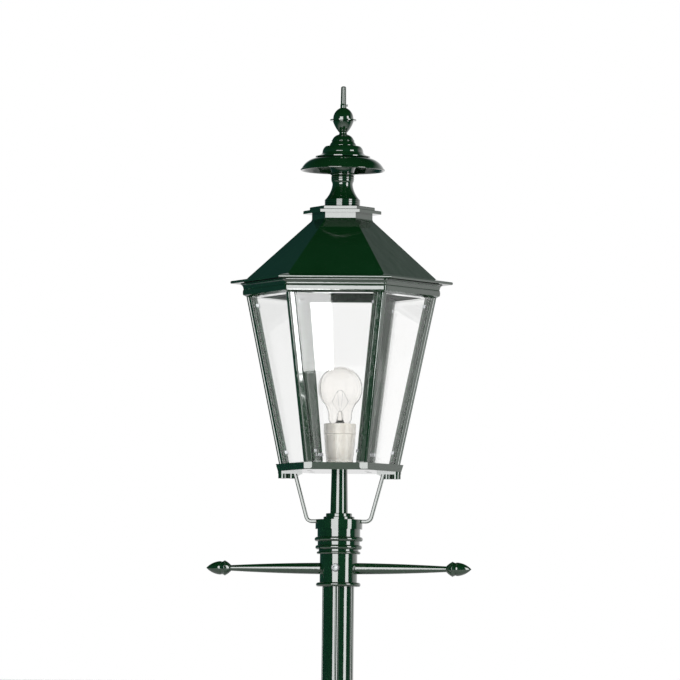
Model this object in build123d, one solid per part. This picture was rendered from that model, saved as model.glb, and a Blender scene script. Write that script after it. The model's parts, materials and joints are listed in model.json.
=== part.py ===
from build123d import *
import os
from math import cos, hypot, radians, sin, sqrt, tan

# Post top lantern: a six-sided glazed lantern with a hinged roof, vent chimney and spike finial,
# carried by two bracket arms and a hollow stem on a clamping collar with a pair of ladder bars.
# Millimetres. The front looks along -Y, two corners lie on the X axis, and the origin is at
# the centre of the open lower end of the post section.

# Fits and thin gaps
RUNNING = 0.08          # radial clearance of a shaft that turns in its hole
CLEAR = 0.3             # gap between neighbours on different bodies
PANE_GAP = 0.5          # room beside a pane

# Post section
POST_SHOWN = 141.3      # length below the collar
POST_R = 21.7
POST_BORE_R = 17.5
FLUTES = 6
FLUTE_W = 6.0
FLUTE_DEPTH = 1.6
POST_ENTRY = 3.6        # how far the fluted length goes up into the collar
SPIGOT_R = 19.5
SPIGOT_H = 60.0

# Collar, from the top down: form, radius, height
COLLAR_BODY_R = 25.5    # the plain band that the bars and clamp screws stand on
COLLAR_BANDS = (
    ("flat", 32.0, 13.1),
    ("flat", 29.2, 10.4),
    ("bead", 33.0, 6.4),
    ("flat", 28.8, 4.7),
    ("bead", 31.8, 6.2),
    ("flat", 27.2, 2.4),
    ("bead", 29.9, 3.9),
    ("flat", COLLAR_BODY_R, 38.3),
    ("bead", 30.4, 5.8),
)
COLLAR_TURN = -5.5      # degrees from the cage's front to the clamp screws and bars
COLLAR_CABLE_R = 8.5
STEM_SOCKET = 20.0      # depth of the stem in the collar

# Clamp screws in the collar, front and back
CLAMP_RISE = 25.5       # above the collar's lower end
CLAMP_HEAD_R = 5.7
CLAMP_HEAD_H = 3.2
CLAMP_SHANK_R = 3.0
CLAMP_SOCKET_R = 3.2
CLAMP_SOCKET_DEPTH = 2.2

# Ladder bars and their tips, measured out from the post's axis
BAR_RISE = 24.8         # above the collar's lower end
BAR_ROOT_R = 7.75
BAR_END_R = 3.9
BAR_END = 148.2
BAR_SWELL = 0.7
BAR_STUD_R = 4.0
BAR_STUD_IN = 20.2
TIP_RIDGE = 156.7
TIP_RIDGE_R = 10.4
TIP_GROOVE = 160.7
TIP_GROOVE_R = 8.5
TIP_BODY_R = 9.2
TIP_BODY = 164.2
TIP_END = 182.6
TIP_STUD_R = 2.2
TIP_STUD = 8.0

# Stem and the cover ring at its foot
STEM_SPAN = 65.5        # collar top to the underside of the tray
STEM_FOOT_R = 12.0
STEM_HEAD_R = 10.9
STEM_BORE_R = 6.5
STEM_BORE_END = 10.0    # the wide bore stops this far below the tray
STEM_NECK_R = 9.0
STEM_NUT_R = 16.0
STEM_NUT_H = 5.5
COVER_LOW_R = 21.2
COVER_LOW_H = 4.0
COVER_TOP_R = 17.8
COVER_TOP_H = 4.5
COVER_EDGE = 0.8

# Bracket arms: flat bar from the collar's top edge up to a cast head under the tray
ARM_T = 5.0
ARM_W = 14.0
ARM_EDGE = 1.4
ARM_IN = 16.0           # inner end, under the cover ring
ARM_BEND = 42.7
ARM_BEND_R = 8.0
ARM_TOP = 60.5          # where the arm's centre line meets the head
HEAD_T = 3.6
HEAD_L = 26.0           # from the head's inner end to its outer screw
GUSSET = 7.0
GUSSET_BOW = 1.4
HEAD_H = 10.0
BOSS_OUT_R = 6.5
BOSS_IN_R = 5.75
BOSS_STEP = 12.0        # between the two screws
HEAD_SCREW_R = 2.0
HEAD_SCREW_HEAD_R = 3.8
HEAD_SCREW_HEAD_H = 4.0

# Tray and base plate; radii of six-sided pieces are measured to the corners
TRAY_R = 87.2
TRAY_TAPER = 2.9        # the foot is this much smaller
TRAY_FOOT_R = TRAY_R - TRAY_TAPER
TRAY_H = 9.5
TRAY_WALL = 3.5
TRAY_RIM = 15.0
TRAY_RIM_T = 3.0
TRAY_ROUND = 0.9        # rounding of the upright corners
LUG_W = 11.0            # upright cast lugs at the ends of the front and back faces
LUG_H = 8.5
LUG_ROUND = 3.0
POST_PAD_R = 5.5
PLATE_T = 2.5
DRAIN_R = 4.0
DRAIN_OUT = 45.0

# Cage: the outer corner lines run from the foot to the head radius
CAGE_FOOT_IN = 4.6      # in from the tray's corners
CAGE_HEAD_OUT = 1.0     # out from the top frame's foot
CAGE_H = 227.5
NOSE_R = 2.2            # round nose along the outer corner line
NOSE_PROUD = 1.8        # the wings' outer planes would meet this far behind the nose
WING_W = 8.4
WING_T = 2.4
WING_ROUND = 0.9
WEB_T = 6.0
RIB_DEPTH = 16.4
FLANGE_W = 16.0
FLANGE_T = 3.0
FLANGE_ROUND = 0.6
GLASS_T = 3.0
RIB_SCREW_R = 2.0
RIB_SCREW_GRIP = 10.0
RIB_SCREW_IN = 8.0      # from the cage's corner line to a head screw
RIB_FOOT_SCREW_IN = 5.6
RIB_SCREW_HEAD_R = 4.0
RIB_SCREW_HEAD_H = 2.8
CLIP_W = 4.5
CLIP_T = 0.8
CLIP_REACH = 7.2        # over the flange, from its edge
CLIP_UP = 14.0          # lower and upper clips, from the ends of the panes

# Top frame: heights above its underside
FRAME_H = 19.5
FRAME_LIP_R = 139.2
BAND_IN = 3.6           # insets from the lip, from the band down to the wall
COVE_IN = 4.3
QUIRK_IN = 5.0
SEAT_IN = 5.2
ROUND_IN = 9.2
WALL_IN = 10.2
FOOT_IN = 10.6
FLOOR_IN = 30.2
FRAME_CHAMFER = 2.6
FRAME_BAND_TOP = 9.6
FRAME_QUIRK = 10.6
FRAME_COVE = 11.6
FRAME_LIP = 16.9
FRAME_LIP_TOP = 18.9
FRAME_FLOOR_T = 3.0

# Roof: heights above its own seat on the frame
GASKET_T = 1.2
GASKET_IN = 0.5         # from the frame's seat
GASKET_W = 4.0
SEAT_OUT = 2.0          # roof's flat seat past the frame's
LEDGE_W = 16.0
LEDGE_T = 3.0
EAVE_OUT = 12.0         # past the frame's lip
EAVE_T = 3.5
EAVE_DROP = 3.6
EAVE_RISE = 4.4         # seat to the foot of the slope
SLOPE_IN = 22.0         # foot of the slope, in from the eave
SLOPE_H = 79.6
NECK_R = 41.3
NECK_H = 8.8
NECK_COVE = 2.4
SHEET_T = 2.6

# Vent plate on the neck, in two steps
VENT_LOW_R = 53.3
VENT_LOW_T = 4.5
VENT_TOP_R = 44.4
VENT_TOP_T = 4.9
VENT_EDGE = 0.7
VENT_HOLES = 6
VENT_HOLE_R = 3.5
VENT_HOLE_OUT = 13.5

# Chimney: heights above the vent plate
CHIMNEY_WALL = 2.2
DRUM_R = 24.2
DRUM_H = 10.1
DRUM_GROOVE_R = 23.2
DRUM_GROOVES = (2.4, 5.2, 7.9)
GROOVE_H = 0.8
WAIST_R = 13.9
WAIST = 31.1
WAIST_BOW = -2.0
THROAT_R = 15.4
THROAT = 36.0
THROAT_RINGS = (38.0, 40.6)
RING_H = 1.5
THROAT_BEAD_R = 16.8
THROAT_BEAD = 43.6
THROAT_BEAD_H = 3.6
FLARE_R = 26.0
FLARE = 64.0
FLARE_BOW = -1.8
SLOT_W = 7.0            # air slots under the cap
SLOT_H = 3.0

# Cap: heights above the top of the chimney's flare
CAP_RIM_R = 56.4
CAP_RIM = -11.4
CAP_SHELL = 2.2
RIM_BEAD_H = 2.6
CAP_BRIM_R = 30.5
CAP_BRIM = 3.4
CAP_BRIM_BOW = 4.8
CAP_SKIRT_R = 37.4
CAP_SKIRT = 5.6
CAP_SKIRT_T = 1.2
TIER_LOW_R = 28.0
TIER_LOW = 11.4
TIER_TOP_R = 24.2
TIER_TOP = 19.3
TIER_BOW = 0.9
DOME_R = 18.2
DOME = 21.1
DOME_BEAD_R = 14.9
DOME_BEAD = 27.9
DOME_BEAD_H = 1.8
CAP_TOP_R = 7.5
CAP_TOP = 35.4

# Finial: heights above the cap, then above the disc
KNOP_FOOT_R = 7.0
KNOP_NECK_R = 5.2
KNOP_NECK = 3.0
KNOP_R = 14.0
KNOP = 17.9
KNOP_TOP = 19.4
KNOP_BOW = 0.9
DISC_R = 17.9
DISC_T = 1.5
DISC_STUD_R = 3.0
DISC_STUD = 4.5
BALL_R = 13.8
BALL_H = 16.0
BALL_BOW = 3.0
SPIKE_R = 3.8
SPIKE_FOOT_R = 4.2
SPIKE_FOOT = 5.5
SPIKE_H = 29.4
SPIKE_STUD_R = 2.0
SPIKE_STUD = 8.0
SPIKE_PIN_R = 1.3
SPIKE_PIN = 3.4
SPIKE_PIN_PROUD = 1.8

# Tie rod that holds the finial, cap and chimney down on the vent plate
TIE_R = 3.0
TIE_TAIL = 9.0
TIE_GRIP = 9.0
TIE_NUT_R = 5.8
TIE_NUT_H = 5.0
TIE_WASHER_R = 10.0
TIE_WASHER_T = 1.6

# Roof hinge at the back
HINGE_W = 60.0
HINGE_MID = 24.0
HINGE_EYE_R = 4.2
HINGE_PIN_R = 2.0
HINGE_PIN_HEAD_R = 3.2
HINGE_PIN_HEAD = 1.5
HINGE_OFF = 5.0         # pin centre behind the eave
HINGE_DROP = 3.0        # pin centre below the roof's seat
HINGE_LEAF_T = 2.5
HINGE_TONGUE = 10.0

# Catch at the front: a spring tongue that hangs inside the top frame
CATCH_W = 18.0
CATCH_T = 1.0
CATCH_H = 12.0
CATCH_GAP = 0.8

# Lampholder: heights above the stem nut
FOOT_PLATE_R = 13.0
FOOT_PLATE_T = 2.0
HOLDER_FOOT_R = 15.5
HOLDER_LOW_R = 18.2
HOLDER_LOW = 8.0
HOLDER_TOP_R = 21.2
HOLDER_BODY_H = 42.6
HOLDER_RING_R = 21.9
HOLDER_RING_H = 14.6
HOLDER_MOUTH_R = 15.2
SHELL_R = 13.6
SHELL_T = 0.8
SHELL_DROP = 5.0        # shell's top edge below the holder's rim
CONTACT_W = 6.0
CONTACT_H = 5.0
CONTACT_T = 0.8
CONTACT_REACH = 10.0
NIPPLE_R = 5.0
NIPPLE_BORE_R = 3.5
NIPPLE_DOWN = 8.0
NIPPLE_UP = 10.0
HOLDER_SCREW_R = 1.6
HOLDER_SCREW_HEAD_R = 2.6
HOLDER_SCREW_HEAD_H = 1.4
HOLDER_SCREW_OUT = 9.6
HOLDER_SCREW_GRIP = 6.0

# Lamp: a standard pear-shaped bulb with a 27 mm screw cap
BULB_R = 30.0
BULB_H = 105.0
BULB_GLASS = 0.9
BULB_TURN = 21.2        # radius where the ball ends and the neck begins
BULB_NECK_R = 16.0
BULB_NECK = 8.0
BULB_NECK_BOW = -1.6
BULB_FOOT_R = 13.0
BULB_CAP_R = 13.2
BULB_CAP_H = 22.2
BULB_SKIRT_R = 14.2
BULB_SKIRT = 3.6
BULB_BASE_R = 9.0
BULB_BASE_H = 3.4
BULB_TIP_R = 4.8
BULB_TIP_H = 1.4
CAP_METAL = 0.6
MOUNT_R = 3.4
MOUNT_WAIST = 8.0
MOUNT_H = 17.0
WIRE_R = 0.4
FILAMENT_R = 0.45
FILAMENT_ENDS = 11.0
FILAMENT_LOW = 30.3
FILAMENT_BEND = 3.6
FILAMENT_HIGH = 44.0

FLAT = cos(radians(30))     # distance to a flat over distance to a corner, in a hexagon

# Radii of the pieces that follow the tray, the top frame and the roof
CAGE_FOOT_R = TRAY_R - CAGE_FOOT_IN
BOSS_OUT = CAGE_FOOT_R - RIB_FOOT_SCREW_IN
BOSS_IN = BOSS_OUT - BOSS_STEP
HEAD_IN = BOSS_OUT - HEAD_L
FRAME_FOOT_R = FRAME_LIP_R - FOOT_IN
FRAME_BAND_R = FRAME_LIP_R - BAND_IN
FRAME_WALL_R = FRAME_LIP_R - WALL_IN
FRAME_SEAT_R = FRAME_LIP_R - SEAT_IN
CAGE_HEAD_R = FRAME_FOOT_R + CAGE_HEAD_OUT
SEAT_R = FRAME_SEAT_R + SEAT_OUT
LEDGE_R = SEAT_R - LEDGE_W
EAVE_R = FRAME_LIP_R + EAVE_OUT
SLOPE_FOOT_R = EAVE_R - SLOPE_IN

# Levels, from the bottom up
Z_COLLAR = POST_SHOWN
COLLAR_H = sum(height for form, radius, height in COLLAR_BANDS)
Z_SHOULDER = Z_COLLAR + POST_ENTRY
Z_SPIGOT = Z_SHOULDER + SPIGOT_H
Z_STEM = Z_COLLAR + COLLAR_H
Z_TRAY = Z_STEM + STEM_SPAN
Z_PLATE = Z_TRAY + PLATE_T
Z_HOLDER = Z_PLATE + STEM_NUT_H
Z_CAGE = Z_TRAY + TRAY_H
Z_FRAME = Z_CAGE + CAGE_H
Z_SEAT = Z_FRAME + FRAME_H
Z_ROOF = Z_SEAT + CLEAR + GASKET_T
Z_SLOPE = Z_ROOF + EAVE_RISE
Z_NECK = Z_SLOPE + SLOPE_H
Z_VENT = Z_NECK + NECK_H
Z_CHIMNEY = Z_VENT + VENT_LOW_T + VENT_TOP_T
Z_CAP = Z_CHIMNEY + FLARE
Z_FINIAL = Z_CAP + CAP_TOP
Z_DISC = Z_FINIAL + KNOP_TOP
Z_BALL = Z_DISC + DISC_T
Z_SPIKE = Z_BALL + BALL_H
Z_RING = Z_HOLDER + HOLDER_BODY_H
Z_RIM = Z_RING + HOLDER_RING_H      # the bulb's cap ends level with the holder's rim
Z_TIP = Z_RIM - BULB_CAP_H - BULB_BASE_H - BULB_TIP_H
Z_CONTACT = Z_TIP - CLEAR - CONTACT_H
Z_CLAMP = Z_COLLAR + CLAMP_RISE
Z_BAR = Z_COLLAR + BAR_RISE

HINGE_Y = EAVE_R * FLAT + HINGE_OFF
HINGE_Z = Z_ROOF - HINGE_DROP


def outline(points):
    """Closed face standing on the XZ plane. A point's third number bows the edge that leads to
    it, out to the left of the way round."""
    edges = []
    for (x0, z0, *_), (x1, z1, *bow) in zip(points, points[1:] + points[:1]):
        if bow:
            length = hypot(x1 - x0, z1 - z0)
            mid_x = (x0 + x1) / 2 - (z1 - z0) / length * bow[0]
            mid_z = (z0 + z1) / 2 + (x1 - x0) / length * bow[0]
            edges.append(ThreePointArc((x0, z0), (mid_x, mid_z), (x1, z1)))
        else:
            edges.append(Line((x0, z0), (x1, z1)))
    return Plane.XZ * make_face(edges)


def turned(points):
    """Solid of revolution about the Z axis. Outside edges run down, so a bow swells them."""
    return revolve(outline(points), Axis.Z)


def rod(radius, low, high):
    return extrude(Pos(0, 0, low) * Circle(radius), high - low)


def tube(outer, inner, low, high):
    return rod(outer, low, high) - rod(inner, low, high)


def hexagon(radius, low, high):
    return extrude(Pos(0, 0, low) * RegularPolygon(radius, 6), high - low)


def round_six(piece):
    """The piece and five copies of it, turned about the Z axis."""
    return [Rot(Z=60 * turn) * piece for turn in range(6)]


def wedge(reach, low, high):
    """Sixth part of a tall hexagonal prism, from the axis to the corners beside +X."""
    half = reach * tan(radians(30))
    corners = Polyline((0, 0), (reach, -half), (reach, half), close=True)
    return extrude(Pos(0, 0, low) * make_face(corners), high - low)


def hex_ring(points, corner_r=0.0):
    """Six-sided ring from a section of (radius to a corner, height) points. What lies outside
    corner_r is rounded at the corners, about the corners of that hexagon."""
    section = outline([(radius * FLAT, *rest) for radius, *rest in points])
    reach = 2 * max(radius for radius, *_ in points)
    low = min(height for _, height, *_ in points) - 1
    high = max(height for _, height, *_ in points) + 1
    side = extrude(Rot(Z=30) * section, reach, dir=(-sin(radians(30)), FLAT, 0), both=True)
    side = Rot(Z=-30) * side & wedge(reach, low, high)
    ring = Part() + [Rot(Z=30) * piece for piece in round_six(side)]
    if corner_r:
        clip = Pos(corner_r * FLAT + reach / 2, (low + high) / 2) * Rectangle(reach, high - low)
        knuckle = Pos(-corner_r * FLAT, 0, 0) * (section & Plane.XZ * clip)
        knuckle = Pos(corner_r, 0, 0) * Rot(Z=-30) * revolve(knuckle, Axis.Z, 60)
        spare = Pos(corner_r, 0, 0) * wedge(reach, low, high)
        ring = ring - round_six(spare) + round_six(knuckle)
    return ring


def cage_r(z):
    """Radius to the cage's outer corner lines at height z."""
    return CAGE_FOOT_R + (CAGE_HEAD_R - CAGE_FOOT_R) * (z - Z_CAGE) / CAGE_H


def save(name, shape):
    export_step(shape, f"parts/{name}.step")


# Post and collar

def make_post():
    post = rod(POST_R, 0, Z_SHOULDER)
    cutter_r = (FLUTE_DEPTH ** 2 + (FLUTE_W / 2) ** 2) / (2 * FLUTE_DEPTH)
    flute = Pos(0, FLUTE_DEPTH - POST_R - cutter_r, 0) * rod(cutter_r, 0, Z_SHOULDER)
    post -= [Rot(Z=360 / FLUTES * turn) * flute for turn in range(FLUTES)]
    post += rod(SPIGOT_R, Z_SHOULDER, Z_SPIGOT)
    return post - rod(POST_BORE_R, 0, Z_SPIGOT)


def make_collar():
    points = []
    z = Z_STEM
    for form, radius, height in COLLAR_BANDS:
        core = radius - height / 2 if form == "bead" else radius
        points.append((core, z))
        z -= height
        points.append((core, z, height / 2) if form == "bead" else (core, z))
    bore = SPIGOT_R + RUNNING
    mouth = POST_R + CLEAR
    points += [(mouth, Z_COLLAR), (mouth, Z_SHOULDER + CLEAR), (bore, Z_SHOULDER + CLEAR)]
    points += [(bore, Z_SPIGOT + CLEAR), (COLLAR_CABLE_R, Z_SPIGOT + CLEAR)]
    points += [(COLLAR_CABLE_R, Z_STEM - STEM_SOCKET), (STEM_FOOT_R, Z_STEM - STEM_SOCKET)]
    collar = turned(points + [(STEM_FOOT_R, Z_STEM)])
    slot = Pos(ARM_IN + COVER_LOW_R, 0, Z_STEM) * Box(2 * COVER_LOW_R, ARM_W, 2 * ARM_T)
    stud_hole = bar_place(1) * rod(BAR_STUD_R, BAR_STUD_IN, COLLAR_BODY_R)
    for turn in (0, 180):
        for cut in (slot, stud_hole, clamp_seat()):
            collar -= Rot(Z=turn) * cut
    return collar


def clamp_flat():
    """Distance of a clamp screw's seat from the post's axis."""
    return sqrt(COLLAR_BODY_R ** 2 - CLAMP_HEAD_R ** 2) - CLEAR


def clamp_place():
    return Pos(0, 0, Z_CLAMP) * Rot(Z=COLLAR_TURN) * Rot(X=90)


def clamp_seat():
    seat = rod(CLAMP_HEAD_R, clamp_flat(), COLLAR_BODY_R + CLAMP_HEAD_H)
    return clamp_place() * (seat + rod(CLAMP_SHANK_R, SPIGOT_R, clamp_flat()))


def make_clamp_screws():
    flat = clamp_flat()
    tip = SPIGOT_R + 2 * CLEAR
    top = flat + CLAMP_HEAD_H
    screw = turned([
        (0, top), (CLAMP_HEAD_R - CLEAR, top, 0.5), (CLAMP_HEAD_R, flat), (CLAMP_SHANK_R, flat),
        (CLAMP_SHANK_R, tip), (0, tip),
    ])
    screw -= hexagon(CLAMP_SOCKET_R, top - CLAMP_SOCKET_DEPTH, top + 1)
    screw = clamp_place() * screw
    return Compound([screw.solid(), (Rot(Z=180) * screw).solid()])


def bar_place(way):
    """Turns a bar that was made along +Z so that it points out to the right or the left."""
    return Pos(0, 0, Z_BAR) * Rot(Z=COLLAR_TURN) * Rot(Y=90 * way)


def make_bar():
    root = COLLAR_BODY_R - 2
    bar = turned([(0, BAR_END), (BAR_END_R, BAR_END), (BAR_ROOT_R, root, BAR_SWELL), (0, root)])
    bar -= Rot(Y=90) * rod(COLLAR_BODY_R, -COLLAR_H, COLLAR_H)
    bar += rod(BAR_STUD_R, BAR_STUD_IN, COLLAR_BODY_R)
    return bar - rod(TIP_STUD_R, BAR_END - TIP_STUD, BAR_END)


def make_tip():
    low = BAR_END - TIP_STUD
    return turned([
        (0, TIP_END), (TIP_BODY_R, TIP_BODY, 1.9), (TIP_BODY_R - 0.4, TIP_GROOVE + 0.6, 0.2),
        (TIP_GROOVE_R, TIP_GROOVE), (TIP_RIDGE_R - 0.5, TIP_RIDGE + 0.8),
        (TIP_RIDGE_R - 0.5, TIP_RIDGE - 0.6, 0.5), (BAR_END_R, BAR_END, 0.5),
        (TIP_STUD_R, BAR_END), (TIP_STUD_R, low), (0, low),
    ])


# Stem and bracket arms

def make_stem():
    bore_end = Z_TRAY - STEM_BORE_END
    foot = Z_STEM - STEM_SOCKET
    cover = Z_STEM + COVER_LOW_H + COVER_TOP_H
    return turned([
        (NIPPLE_R, Z_HOLDER), (STEM_NECK_R, Z_HOLDER), (STEM_NECK_R, Z_TRAY),
        (STEM_HEAD_R, Z_TRAY), (STEM_FOOT_R, cover), (STEM_FOOT_R, foot),
        (STEM_BORE_R, foot), (STEM_BORE_R, bore_end), (NIPPLE_R, bore_end),
    ])


def make_cover_ring():
    step = Z_STEM + COVER_LOW_H
    top = step + COVER_TOP_H
    return turned([
        (STEM_FOOT_R, top), (COVER_TOP_R - COVER_EDGE, top),
        (COVER_TOP_R, top - COVER_EDGE, COVER_EDGE / 4), (COVER_TOP_R, step),
        (COVER_LOW_R - COVER_EDGE, step), (COVER_LOW_R, step - COVER_EDGE, COVER_EDGE / 4),
        (COVER_LOW_R, Z_STEM), (STEM_FOOT_R, Z_STEM),
    ])


def make_stem_nut():
    return hexagon(STEM_NUT_R, Z_PLATE, Z_HOLDER) - rod(STEM_NECK_R, Z_PLATE, Z_HOLDER)


def head_screw_places():
    return ((BOSS_IN, BOSS_IN_R), (BOSS_OUT, BOSS_OUT_R))


def make_bracket():
    strip_z = Z_STEM - ARM_T / 2
    head_z = Z_TRAY - HEAD_T
    path = FilletPolyline(
        (ARM_IN, 0, strip_z), (ARM_BEND, 0, strip_z), (ARM_TOP, 0, head_z + HEAD_T / 2),
        radius=ARM_BEND_R,
    )
    start = Plane((ARM_IN, 0, strip_z), x_dir=(0, 1, 0), z_dir=(1, 0, 0))
    arm = sweep(start * RectangleRounded(ARM_W, ARM_T, ARM_EDGE), path)
    head = Pos((HEAD_IN + BOSS_OUT) / 2, 0) * Rectangle(BOSS_OUT - HEAD_IN, ARM_W)
    head += Pos(BOSS_OUT, 0) * Circle(ARM_W / 2)
    bracket = arm + extrude(Pos(0, 0, head_z) * head, HEAD_T)
    slope = (ARM_TOP - ARM_BEND) / (head_z + HEAD_T / 2 - strip_z)
    gusset = outline([
        (HEAD_IN, head_z, -GUSSET_BOW), (ARM_TOP, head_z),
        (ARM_TOP - GUSSET * slope, head_z - GUSSET),
    ])
    bracket += extrude(gusset, ARM_W / 2 - ARM_EDGE, both=True)
    for out, boss_r in head_screw_places():
        bracket += Pos(out, 0, 0) * rod(boss_r, Z_TRAY - HEAD_H, Z_TRAY)
    for out, boss_r in head_screw_places():
        bracket -= Pos(out, 0, 0) * rod(HEAD_SCREW_R, Z_TRAY - HEAD_H, Z_TRAY)
        sunk = Z_TRAY - HEAD_H + HEAD_SCREW_HEAD_H
        bracket -= Pos(out, 0, 0) * rod(HEAD_SCREW_HEAD_R, Z_TRAY - HEAD_H, sunk)
    return bracket


def make_bracket_screws():
    screws = []
    foot = Z_TRAY - HEAD_H
    tops = (Z_CAGE - TRAY_RIM_T, Z_CAGE + RIB_SCREW_GRIP)
    for (out, boss_r), top in zip(head_screw_places(), tops):
        screw = rod(HEAD_SCREW_R, foot + HEAD_SCREW_HEAD_H, top)
        screw += rod(HEAD_SCREW_HEAD_R, foot + CLEAR, foot + HEAD_SCREW_HEAD_H)
        screw -= hexagon(HEAD_SCREW_R, foot, foot + HEAD_SCREW_HEAD_H / 2)
        screw = Pos(out, 0, 0) * screw
        screws += [screw.solid(), (Rot(Z=180) * screw).solid()]
    return Compound(screws)


# Tray, cage and glazing

def foot_screw_turns():
    """The four corners that have no bracket under them."""
    return (60, 120, 240, 300)


def on_corner(edge, radius):
    middle = edge.center()
    return abs(hypot(middle.X, middle.Y) - radius) < TRAY_ROUND


def make_lugs():
    """Upright lugs at both ends of the tray's front face, flush with its rim."""
    face = TRAY_R * FLAT
    low = Z_CAGE - LUG_H
    end = TRAY_R / 2 - TRAY_ROUND / 2
    lug = Pos(end - LUG_W / 2, (low + Z_CAGE) / 2) * Rectangle(LUG_W, LUG_H)
    inner = lug.vertices().sort_by(Axis.Y)[:2].sort_by(Axis.X)[0]
    lug = fillet(inner, LUG_ROUND)
    lug = extrude(Plane((0, -face, 0), x_dir=(1, 0, 0), z_dir=(0, -1, 0)) * lug, -TRAY_WALL)
    return lug, mirror(lug, Plane.YZ)


def make_tray():
    wall = TRAY_WALL / FLAT
    rim_in = TRAY_R - TRAY_RIM / FLAT
    tray = hex_ring([
        (rim_in, Z_CAGE), (TRAY_R, Z_CAGE), (TRAY_FOOT_R, Z_TRAY), (TRAY_FOOT_R - wall, Z_TRAY),
        (TRAY_R - wall, Z_CAGE - TRAY_RIM_T), (rim_in, Z_CAGE - TRAY_RIM_T),
    ])
    corner = (TRAY_R + TRAY_FOOT_R) / 2
    tray = fillet(tray.edges().filter_by(lambda edge: on_corner(edge, corner)), TRAY_ROUND)
    for turn in (0, 180):
        for lug in make_lugs():
            tray += Rot(Z=turn) * lug
    for turn in (0, 180):
        for out, boss_r in head_screw_places():
            pad = Pos(out, 0, 0) * rod(POST_PAD_R, Z_PLATE, Z_CAGE - TRAY_RIM_T)
            hole = Pos(out, 0, 0) * rod(HEAD_SCREW_R, Z_TRAY, Z_CAGE)
            if out == BOSS_IN:
                hole = Pos(out, 0, 0) * rod(HEAD_SCREW_R, Z_TRAY, Z_CAGE - TRAY_RIM_T)
            tray = tray + Rot(Z=turn) * pad - Rot(Z=turn) * hole
    for turn in foot_screw_turns():
        tray -= Rot(Z=turn) * Pos(BOSS_OUT, 0, 0) * rod(RIB_SCREW_R, Z_TRAY, Z_CAGE)
    return tray


def make_base_plate():
    plate = hexagon(TRAY_FOOT_R - TRAY_WALL / FLAT - CLEAR, Z_TRAY, Z_PLATE)
    plate -= rod(STEM_NECK_R, Z_TRAY, Z_PLATE)
    for drain in round_six(Pos(0, -DRAIN_OUT, 0) * rod(DRAIN_R, Z_TRAY, Z_PLATE)):
        plate -= drain
    for turn in (0, 180):
        for out, boss_r in head_screw_places():
            plate -= Rot(Z=turn) * Pos(out, 0, 0) * rod(HEAD_SCREW_R, Z_TRAY, Z_PLATE)
    return plate


def rib_section():
    """Section of the rib on +X at height 0: a round nose, two wings that lie along the panes, a
    web and an inner flange. The nose's crown is at the origin, the lantern's axis towards -X."""
    wing_in = NOSE_PROUD + WING_W * cos(radians(60))
    wing_side = WING_W * sin(radians(60))
    lap_in = wing_in + WING_T * cos(radians(30))
    lap_side = wing_side - WING_T * sin(radians(30))
    root_in = lap_in - lap_side * tan(radians(30))
    flange = FLANGE_T - RIB_DEPTH
    wings = Polyline(
        (-NOSE_PROUD, 0), (-wing_in, wing_side), (-lap_in, lap_side), (-root_in, 0),
        (-lap_in, -lap_side), (-wing_in, -wing_side), close=True,
    )
    wings = make_face(wings)
    tips = wings.vertices().filter_by(lambda tip: abs(tip.Y) > NOSE_R)
    section = fillet(tips, WING_ROUND)
    section += Pos(-NOSE_R, 0) * Circle(NOSE_R)
    section += Pos(-(NOSE_R + root_in) / 2, 0) * Rectangle(root_in - NOSE_R, 2 * NOSE_R)
    section += Pos((flange - root_in) / 2, 0) * Rectangle(-flange - root_in, WEB_T)
    rim = Rectangle(FLANGE_T, FLANGE_W)
    rim = fillet(rim.vertices(), FLANGE_ROUND)
    return section + Pos(-RIB_DEPTH + FLANGE_T / 2, 0) * rim


def make_rib():
    lean = Vector(CAGE_HEAD_R - CAGE_FOOT_R, 0, CAGE_H)
    rib = extrude(Pos(CAGE_FOOT_R, 0, Z_CAGE) * rib_section(), lean.length, dir=lean)
    rib -= Pos(BOSS_OUT, 0, 0) * rod(RIB_SCREW_R, Z_CAGE, Z_CAGE + RIB_SCREW_GRIP)
    head = Pos(CAGE_HEAD_R - RIB_SCREW_IN, 0, 0)
    return rib - head * rod(RIB_SCREW_R, Z_FRAME - RIB_SCREW_GRIP, Z_FRAME)


def pane_slice(z):
    """Level section of the front pane at height z."""
    face = (cage_r(z) - NOSE_PROUD) * FLAT - WING_T
    inner = face - GLASS_T
    half = inner * tan(radians(30)) - WEB_T / 2 / FLAT - PANE_GAP
    corners = Polyline((-half, -face), (half, -face), (half, -inner), (-half, -inner), close=True)
    return Pos(0, 0, z) * make_face(corners)


def make_pane():
    return loft([pane_slice(Z_CAGE), pane_slice(Z_FRAME - PANE_GAP)], ruled=True)


def make_clip(z):
    """Strip snapped over the edge of a rib's flange so that its end bears on the pane, and the
    same on the rib's other side."""
    flange = cage_r(z) - RIB_DEPTH
    edge = FLANGE_W / 2
    glass = cage_r(z) - NOSE_PROUD - (WING_T + GLASS_T) / FLAT
    over = edge + CLIP_T
    strip = make_face(Polyline(
        (flange, edge - CLIP_REACH), (flange, edge), (glass - edge * tan(radians(30)), edge),
        (glass - over * tan(radians(30)), over), (flange - CLIP_T, over),
        (flange - CLIP_T, edge - CLIP_REACH), close=True,
    ))
    lean = Vector(CAGE_HEAD_R - CAGE_FOOT_R, 0, CAGE_H)
    clip = extrude(Pos(0, 0, z) * strip, CLIP_W, dir=lean)
    return [clip.solid(), mirror(clip, Plane.XZ).solid()]


def make_clips():
    clips = []
    for z in (Z_CAGE + CLIP_UP, Z_FRAME - CLIP_UP):
        for clip in make_clip(z):
            clips += [piece.solid() for piece in round_six(clip)]
    return Compound(clips)


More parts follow.
